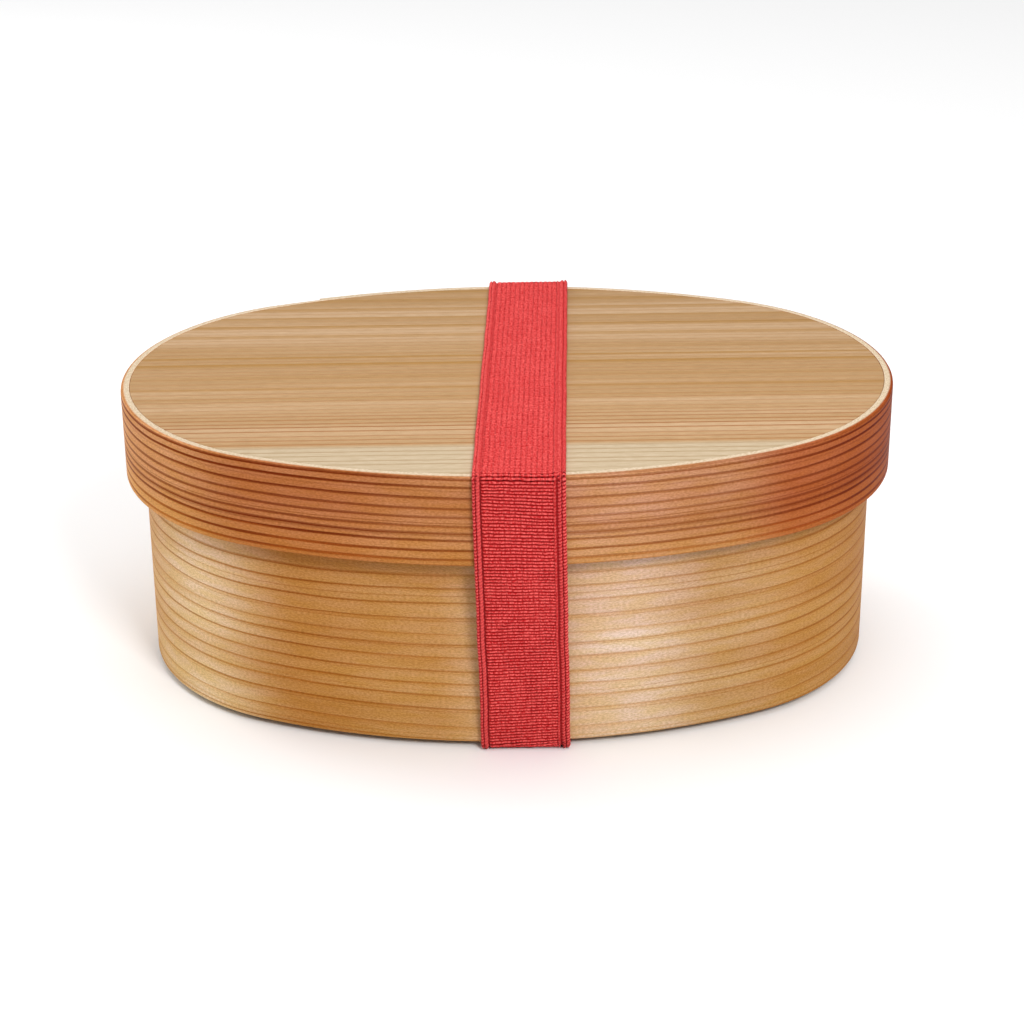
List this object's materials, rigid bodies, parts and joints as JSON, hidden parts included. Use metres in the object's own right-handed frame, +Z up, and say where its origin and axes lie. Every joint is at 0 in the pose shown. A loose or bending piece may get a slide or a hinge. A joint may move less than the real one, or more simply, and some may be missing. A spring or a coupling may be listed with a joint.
{
  "type": "bento lunch box",
  "caption": "Oval bentwood lunch box with an overlapping lid, a loose divider inside, bark-laced laps at the back and a ribbed elastic band round it.",
  "frame": {"origin": "on the ground under the middle of the box, level with the underside of the elastic band that the box stands on", "axes": "+X along the box's length, +Y towards the back, where the laps are laced, +Z up"},
  "size_m": [0.18, 0.125, 0.0698],
  "materials": {
    "cedar_wall": "satin, fine even grain running round the wall",
    "cedar_hoop": "satin, dark even grain running round the hoop",
    "cedar_board": "satin, straight grain along the length",
    "cedar_divider": "satin, straight grain",
    "cherry_bark": "polished bark with pale cross marks",
    "elastic": "woven elastic, ribbed, slight sheen",
    "thread": "spun thread"
  },
  "bodies": {
    "base": {"base_wall": "cedar_wall", "base_bottom": "cedar_board", "base_lacing": "cherry_bark"},
    "lid": {"lid_hoop": "cedar_hoop", "lid_board": "cedar_board", "lid_lacing": "cherry_bark"},
    "divider_body": {"divider": "cedar_divider"},
    "band_foot": {"band_lower": "elastic", "band_seam_thread": "thread"},
    "band_top": {"band_upper": "elastic"}
  },
  "joints": [
    {"name": "lid_lift", "type": "slide", "parent": "base", "child": "lid", "axis": [0, 0, 1], "range_m": [0, 0.045]},
    {"name": "band_slip", "type": "slide", "parent": "base", "child": "band_foot", "axis": [1, 0, 0], "range_m": [-0.115, 0.105]},
    {"name": "band_stretch", "type": "slide", "parent": "band_foot", "child": "band_top", "axis": [0, 0, 1], "range_m": [0, 0.045]},
    {"name": "divider_slide", "type": "slide", "parent": "base", "child": "divider_body", "axis": [1, 0, 0], "range_m": [-0.036, 0]}
  ],
  "couplings": [
    {"joint": "band_stretch", "follows": "lid_lift", "ratio": 1}
  ]
}
